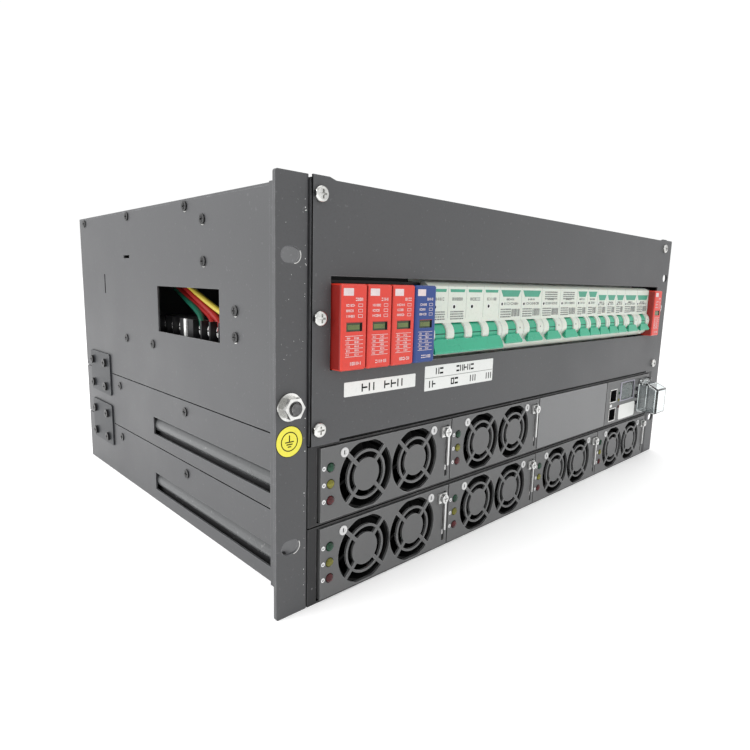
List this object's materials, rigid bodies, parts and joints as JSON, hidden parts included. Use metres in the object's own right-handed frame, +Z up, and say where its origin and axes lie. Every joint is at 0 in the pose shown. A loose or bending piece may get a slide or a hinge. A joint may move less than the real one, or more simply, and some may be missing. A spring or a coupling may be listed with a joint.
{
  "type": "rack-mount telecom power subrack",
  "caption": "19-inch rack-mount DC power subrack: sheet-metal distribution unit with circuit breakers and surge protectors above shelves of plug-in fan-cooled rectifiers and a controller.",
  "frame": {"origin": "centre of the bounding box at the base, midway between the two rack ears and midway between the controller cover's front and the rear wall; the ears' front faces lie in the plane Y = -0.164 m", "axes": "+X to the right seen from the front, along the 482.6 mm rack width; +Y to the back; +Z up"},
  "size_m": [0.4826, 0.368, 0.2215],
  "materials": {
    "graphite_paint": "fine-grained graphite powder coat on sheet steel",
    "module_paint": "smooth grey paint on thin sheet",
    "zinc": "bright zinc plate",
    "latch_steel": "bright stamped steel",
    "copper": "bare copper bar",
    "breaker_white": "moulded, slightly translucent off-white",
    "toggle_green": "satin moulded green",
    "spd_red": "satin moulded red",
    "spd_blue": "satin moulded blue",
    "black_plastic": "moulded black",
    "board_green": "solder-masked circuit board",
    "button_rubber": "matt",
    "clear_plastic": "clear moulded polycarbonate"
  },
  "bodies": {
    "chassis": {"distribution_chassis": "graphite_paint", "top_cover": "graphite_paint", "front_panel": "graphite_paint", "ear_right": "graphite_paint", "ear_left": "graphite_paint", "ground_stud": "zinc", "joining_plates": "graphite_paint", "fasteners": "zinc", "shelf_lower": "graphite_paint", "shelf_upper": "graphite_paint", "blank_panel": "graphite_paint", "din_rail": "zinc", "spd_bases": "black_plastic", "spd_cartridges_red": "spd_red", "spd_cartridge_blue": "spd_blue", "breaker_bodies": "breaker_white", "terminal_block": "black_plastic", "dc_busbars": "copper", "backplanes": "board_green"},
    "main_toggle": {"main_toggle": "toggle_green"},
    "dc_toggle_01": {"dc_toggle_01": "toggle_green"},
    "dc_toggle_02": {"dc_toggle_02": "toggle_green"},
    "dc_toggle_03": {"dc_toggle_03": "toggle_green"},
    "dc_toggle_04": {"dc_toggle_04": "toggle_green"},
    "dc_toggle_05": {"dc_toggle_05": "toggle_green"},
    "dc_toggle_06": {"dc_toggle_06": "toggle_green"},
    "dc_toggle_07": {"dc_toggle_07": "toggle_green"},
    "dc_toggle_08": {"dc_toggle_08": "toggle_green"},
    "dc_toggle_09": {"dc_toggle_09": "toggle_green"},
    "dc_toggle_10": {"dc_toggle_10": "toggle_green"},
    "dc_toggle_11": {"dc_toggle_11": "toggle_green"},
    "rectifier_1": {"rectifier_1": "module_paint"},
    "latch_1": {"latch_1": "latch_steel"},
    "fan_rotor_1a": {"fan_rotor_1a": "black_plastic"},
    "fan_rotor_1b": {"fan_rotor_1b": "black_plastic"},
    "rectifier_2": {"rectifier_2": "module_paint"},
    "latch_2": {"latch_2": "latch_steel"},
    "fan_rotor_2a": {"fan_rotor_2a": "black_plastic"},
    "fan_rotor_2b": {"fan_rotor_2b": "black_plastic"},
    "rectifier_3": {"rectifier_3": "module_paint"},
    "latch_3": {"latch_3": "latch_steel"},
    "fan_rotor_3a": {"fan_rotor_3a": "black_plastic"},
    "fan_rotor_3b": {"fan_rotor_3b": "black_plastic"},
    "rectifier_4": {"rectifier_4": "module_paint"},
    "latch_4": {"latch_4": "latch_steel"},
    "fan_rotor_4a": {"fan_rotor_4a": "black_plastic"},
    "fan_rotor_4b": {"fan_rotor_4b": "black_plastic"},
    "rectifier_5": {"rectifier_5": "module_paint"},
    "latch_5": {"latch_5": "latch_steel"},
    "fan_rotor_5a": {"fan_rotor_5a": "black_plastic"},
    "fan_rotor_5b": {"fan_rotor_5b": "black_plastic"},
    "rectifier_6": {"rectifier_6": "module_paint"},
    "latch_6": {"latch_6": "latch_steel"},
    "fan_rotor_6a": {"fan_rotor_6a": "black_plastic"},
    "fan_rotor_6b": {"fan_rotor_6b": "black_plastic"},
    "controller": {"controller_case": "module_paint"},
    "controller_button_1": {"controller_button_1": "button_rubber"},
    "controller_button_2": {"controller_button_2": "button_rubber"},
    "controller_button_3": {"controller_button_3": "button_rubber"},
    "controller_cover": {"controller_cover": "clear_plastic"}
  },
  "joints": [
    {"name": "main_toggle_swing", "type": "hinge", "parent": "chassis", "child": "main_toggle", "pos_m": [-0.1015, -0.16175, 0.142], "axis": [-1, 0, 0], "range_deg": [0, 68]},
    {"name": "dc_toggle_01_swing", "type": "hinge", "parent": "chassis", "child": "dc_toggle_01", "pos_m": [-0.052, -0.16175, 0.142], "axis": [-1, 0, 0], "range_deg": [0, 68]},
    {"name": "dc_toggle_02_swing", "type": "hinge", "parent": "chassis", "child": "dc_toggle_02", "pos_m": [-0.025, -0.16175, 0.142], "axis": [-1, 0, 0], "range_deg": [0, 68]},
    {"name": "dc_toggle_03_swing", "type": "hinge", "parent": "chassis", "child": "dc_toggle_03", "pos_m": [0.002, -0.16175, 0.142], "axis": [-1, 0, 0], "range_deg": [0, 68]},
    {"name": "dc_toggle_04_swing", "type": "hinge", "parent": "chassis", "child": "dc_toggle_04", "pos_m": [0.029, -0.16175, 0.142], "axis": [-1, 0, 0], "range_deg": [0, 68]},
    {"name": "dc_toggle_05_swing", "type": "hinge", "parent": "chassis", "child": "dc_toggle_05", "pos_m": [0.0515, -0.16175, 0.142], "axis": [-1, 0, 0], "range_deg": [0, 68]},
    {"name": "dc_toggle_06_swing", "type": "hinge", "parent": "chassis", "child": "dc_toggle_06", "pos_m": [0.0695, -0.16175, 0.142], "axis": [-1, 0, 0], "range_deg": [0, 68]},
    {"name": "dc_toggle_07_swing", "type": "hinge", "parent": "chassis", "child": "dc_toggle_07", "pos_m": [0.0875, -0.16175, 0.142], "axis": [-1, 0, 0], "range_deg": [0, 68]},
    {"name": "dc_toggle_08_swing", "type": "hinge", "parent": "chassis", "child": "dc_toggle_08", "pos_m": [0.1055, -0.16175, 0.142], "axis": [-1, 0, 0], "range_deg": [0, 68]},
    {"name": "dc_toggle_09_swing", "type": "hinge", "parent": "chassis", "child": "dc_toggle_09", "pos_m": [0.1235, -0.16175, 0.142], "axis": [-1, 0, 0], "range_deg": [0, 68]},
    {"name": "dc_toggle_10_swing", "type": "hinge", "parent": "chassis", "child": "dc_toggle_10", "pos_m": [0.146, -0.16175, 0.142], "axis": [-1, 0, 0], "range_deg": [0, 68]},
    {"name": "dc_toggle_11_swing", "type": "hinge", "parent": "chassis", "child": "dc_toggle_11", "pos_m": [0.173, -0.16175, 0.142], "axis": [-1, 0, 0], "range_deg": [0, 68]},
    {"name": "rectifier_1_slide", "type": "slide", "parent": "chassis", "child": "rectifier_1", "axis": [0, -1, 0], "range_m": [0, 0.25]},
    {"name": "latch_1_swing", "type": "hinge", "parent": "rectifier_1", "child": "latch_1", "pos_m": [-0.11155, -0.16, 0.05295], "axis": [1, 0, 0], "range_deg": [0, 60]},
    {"name": "fan_rotor_1a_spin", "type": "hinge", "parent": "rectifier_1", "child": "fan_rotor_1a", "pos_m": [-0.18165, -0.154, 0.06585], "axis": [0, -1, 0], "continuous": true},
    {"name": "fan_rotor_1b_spin", "type": "hinge", "parent": "rectifier_1", "child": "fan_rotor_1b", "pos_m": [-0.14145, -0.154, 0.06585], "axis": [0, -1, 0], "continuous": true},
    {"name": "rectifier_2_slide", "type": "slide", "parent": "chassis", "child": "rectifier_2", "axis": [0, -1, 0], "range_m": [0, 0.25]},
    {"name": "latch_2_swing", "type": "hinge", "parent": "rectifier_2", "child": "latch_2", "pos_m": [-0.00415, -0.16, 0.05295], "axis": [1, 0, 0], "range_deg": [0, 60]},
    {"name": "fan_rotor_2a_spin", "type": "hinge", "parent": "rectifier_2", "child": "fan_rotor_2a", "pos_m": [-0.07425, -0.154, 0.06585], "axis": [0, -1, 0], "continuous": true},
    {"name": "fan_rotor_2b_spin", "type": "hinge", "parent": "rectifier_2", "child": "fan_rotor_2b", "pos_m": [-0.03405, -0.154, 0.06585], "axis": [0, -1, 0], "continuous": true},
    {"name": "rectifier_3_slide", "type": "slide", "parent": "chassis", "child": "rectifier_3", "axis": [0, -1, 0], "range_m": [0, 0.25]},
    {"name": "latch_3_swing", "type": "hinge", "parent": "rectifier_3", "child": "latch_3", "pos_m": [-0.11155, -0.16, 0.0085], "axis": [1, 0, 0], "range_deg": [0, 60]},
    {"name": "fan_rotor_3a_spin", "type": "hinge", "parent": "rectifier_3", "child": "fan_rotor_3a", "pos_m": [-0.18165, -0.154, 0.0214], "axis": [0, -1, 0], "continuous": true},
    {"name": "fan_rotor_3b_spin", "type": "hinge", "parent": "rectifier_3", "child": "fan_rotor_3b", "pos_m": [-0.14145, -0.154, 0.0214], "axis": [0, -1, 0], "continuous": true},
    {"name": "rectifier_4_slide", "type": "slide", "parent": "chassis", "child": "rectifier_4", "axis": [0, -1, 0], "range_m": [0, 0.25]},
    {"name": "latch_4_swing", "type": "hinge", "parent": "rectifier_4", "child": "latch_4", "pos_m": [-0.00415, -0.16, 0.0085], "axis": [1, 0, 0], "range_deg": [0, 60]},
    {"name": "fan_rotor_4a_spin", "type": "hinge", "parent": "rectifier_4", "child": "fan_rotor_4a", "pos_m": [-0.07425, -0.154, 0.0214], "axis": [0, -1, 0], "continuous": true},
    {"name": "fan_rotor_4b_spin", "type": "hinge", "parent": "rectifier_4", "child": "fan_rotor_4b", "pos_m": [-0.03405, -0.154, 0.0214], "axis": [0, -1, 0], "continuous": true},
    {"name": "rectifier_5_slide", "type": "slide", "parent": "chassis", "child": "rectifier_5", "axis": [0, -1, 0], "range_m": [0, 0.25]},
    {"name": "latch_5_swing", "type": "hinge", "parent": "rectifier_5", "child": "latch_5", "pos_m": [0.10325, -0.16, 0.0085], "axis": [1, 0, 0], "range_deg": [0, 60]},
    {"name": "fan_rotor_5a_spin", "type": "hinge", "parent": "rectifier_5", "child": "fan_rotor_5a", "pos_m": [0.03315, -0.154, 0.0214], "axis": [0, -1, 0], "continuous": true},
    {"name": "fan_rotor_5b_spin", "type": "hinge", "parent": "rectifier_5", "child": "fan_rotor_5b", "pos_m": [0.07335, -0.154, 0.0214], "axis": [0, -1, 0], "continuous": true},
    {"name": "rectifier_6_slide", "type": "slide", "parent": "chassis", "child": "rectifier_6", "axis": [0, -1, 0], "range_m": [0, 0.25]},
    {"name": "latch_6_swing", "type": "hinge", "parent": "rectifier_6", "child": "latch_6", "pos_m": [0.21065, -0.16, 0.0085], "axis": [1, 0, 0], "range_deg": [0, 60]},
    {"name": "fan_rotor_6a_spin", "type": "hinge", "parent": "rectifier_6", "child": "fan_rotor_6a", "pos_m": [0.14055, -0.154, 0.0214], "axis": [0, -1, 0], "continuous": true},
    {"name": "fan_rotor_6b_spin", "type": "hinge", "parent": "rectifier_6", "child": "fan_rotor_6b", "pos_m": [0.18075, -0.154, 0.0214], "axis": [0, -1, 0], "continuous": true},
    {"name": "controller_slide", "type": "slide", "parent": "chassis", "child": "controller", "axis": [0, -1, 0], "range_m": [0, 0.15]},
    {"name": "controller_button_1_press", "type": "slide", "parent": "controller", "child": "controller_button_1", "axis": [0, 1, 0], "range_m": [0, 0.0008], "stiffness_N_per_m": 500, "springref_m": -0.001},
    {"name": "controller_button_2_press", "type": "slide", "parent": "controller", "child": "controller_button_2", "axis": [0, 1, 0], "range_m": [0, 0.0008], "stiffness_N_per_m": 500, "springref_m": -0.001},
    {"name": "controller_button_3_press", "type": "slide", "parent": "controller", "child": "controller_button_3", "axis": [0, 1, 0], "range_m": [0, 0.0008], "stiffness_N_per_m": 500, "springref_m": -0.001},
    {"name": "controller_cover_flap", "type": "hinge", "parent": "controller", "child": "controller_cover", "pos_m": [0.202, -0.1672, 0.08145], "axis": [-1, 0, 0], "range_deg": [0, 90]}
  ]
}
